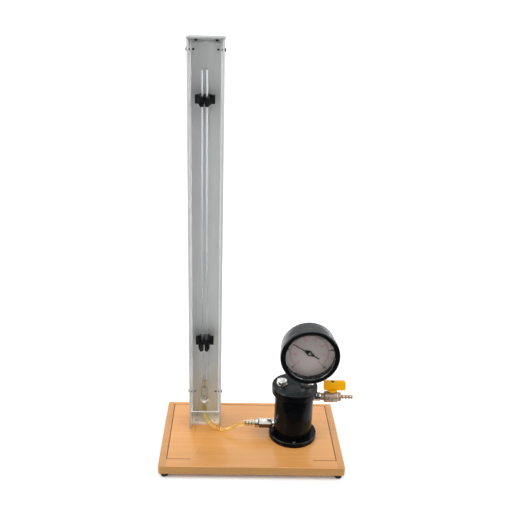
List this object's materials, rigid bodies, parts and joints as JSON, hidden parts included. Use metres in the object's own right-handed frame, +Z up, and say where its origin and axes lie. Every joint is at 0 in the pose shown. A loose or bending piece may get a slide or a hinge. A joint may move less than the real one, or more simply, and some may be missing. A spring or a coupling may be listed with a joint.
{
  "type": "boyles law apparatus",
  "caption": "Boyle's law demonstrator: a closed glass tube in a tall clear-fronted column, joined by a hose to an oil reservoir with a dial pressure gauge, filler plug and pump valve.",
  "frame": {"origin": "middle of the whole model's footprint, on the plane that the rubber feet stand on", "axes": "+Z up along the column, the front looks to -Y, the column stands on the -X side"},
  "size_m": [0.3732, 0.214, 0.7825],
  "materials": {
    "wood_board": "wood laminate, satin clear coat",
    "rubber_foot": "matt black rubber",
    "bright_screw": "bright zinc plated steel",
    "black_screw": "black oxide steel",
    "column_metal": "satin anodised aluminium",
    "clear_cover": "clear polished acrylic",
    "glass": "clear glass",
    "black_plastic": "black moulded plastic",
    "sleeve_clear": "clear flexible sleeve, yellowish",
    "tie_white": "natural nylon",
    "hose_clear": "clear flexible PVC, tinted by the oil in it",
    "nickel": "nickel plated brass",
    "black_metal": "black satin anodised",
    "black_gasket": "black rubber",
    "fibre_seal": "fibre washer",
    "gauge_black": "gloss black enamel",
    "dial_face": "matt light grey print face",
    "pointer_black": "matt black",
    "brass_part": "machined brass",
    "valve_brass": "dull plated brass",
    "ptfe": "white PTFE",
    "handle_yellow": "yellow moulded plastic"
  },
  "bodies": {
    "stand": {"base_board": "wood_board", "rubber_feet": "rubber_foot", "foot_screws": "bright_screw", "column_channel": "column_metal", "column_foot_plate": "column_metal", "column_screws": "bright_screw", "plate_screws": "black_screw", "top_cap": "column_metal", "cap_screws": "black_screw", "cap_nuts": "bright_screw", "front_cover": "clear_cover", "cover_screws": "black_screw", "cover_nuts": "bright_screw", "upper_clip": "black_plastic", "lower_clip": "black_plastic", "clip_screws": "black_screw", "glass_tube": "glass", "tube_sleeve": "sleeve_clear", "hose_tie": "tie_white", "hose": "hose_clear", "hose_barb": "nickel", "hose_fitting_hex": "nickel", "hose_fitting_washer": "nickel", "reservoir_flange": "black_metal", "flange_screws": "bright_screw", "reservoir_body": "black_metal", "cap_gasket": "black_gasket", "reservoir_cap": "black_metal", "gauge_socket": "nickel", "gauge_seal": "fibre_seal", "gauge_case": "gauge_black", "gauge_bezel": "gauge_black", "gauge_lens": "glass", "gauge_dial": "dial_face", "movement_plates": "brass_part", "bourdon_tube": "brass_part", "bourdon_tip": "brass_part", "valve_nipple": "nickel", "valve_body": "valve_brass", "valve_seats": "ptfe", "packing_nut": "valve_brass", "pump_barb": "valve_brass"},
    "valve_handle_set": {"valve_handle": "handle_yellow", "handle_screw": "black_screw", "valve_stem": "brass_part", "valve_ball": "nickel"},
    "sector": {"sector_gear": "brass_part"},
    "pointer": {"gauge_pointer": "pointer_black", "pointer_arbor": "brass_part"},
    "link": {"movement_link": "brass_part"},
    "plug_seal": {"filler_seal": "fibre_seal"},
    "plug": {"filler_plug": "nickel"}
  },
  "joints": [
    {"name": "valve_turn", "type": "hinge", "parent": "stand", "child": "valve_handle_set", "pos_m": [0.1444, -0.002, 0.1165], "axis": [0, 0, 1], "range_deg": [-90, 0]},
    {"name": "sector_turn", "type": "hinge", "parent": "stand", "child": "sector", "pos_m": [0.0944, -0.006, 0.1966], "axis": [0, 1, 0], "range_deg": [-23.76, 9.31], "stiffness_Nm_per_rad": 0.5},
    {"name": "pointer_turn", "type": "hinge", "parent": "stand", "child": "pointer", "pos_m": [0.0944, -0.006, 0.2186], "axis": [0, 1, 0], "range_deg": [-76.1, 194.1]},
    {"name": "link_turn", "type": "hinge", "parent": "sector", "child": "link", "pos_m": [0.1034, -0.004, 0.1966], "axis": [0, 1, 0], "range_deg": [-12, 29]},
    {"name": "plug_lift", "type": "slide", "parent": "stand", "child": "plug_seal", "axis": [0, 0, 1], "range_m": [0, 0.01396]},
    {"name": "plug_turn", "type": "hinge", "parent": "plug_seal", "child": "plug", "pos_m": [0.0459, -0.003, 0.143], "axis": [0, 0, 1], "range_deg": [0, 3760]}
  ],
  "couplings": [
    {"joint": "pointer_turn", "follows": "sector_turn", "ratio": -8.1667},
    {"joint": "link_turn", "follows": "sector_turn", "ratio": -1.2},
    {"joint": "plug_turn", "follows": "plug_lift", "rad_per_m": 4699.2}
  ]
}
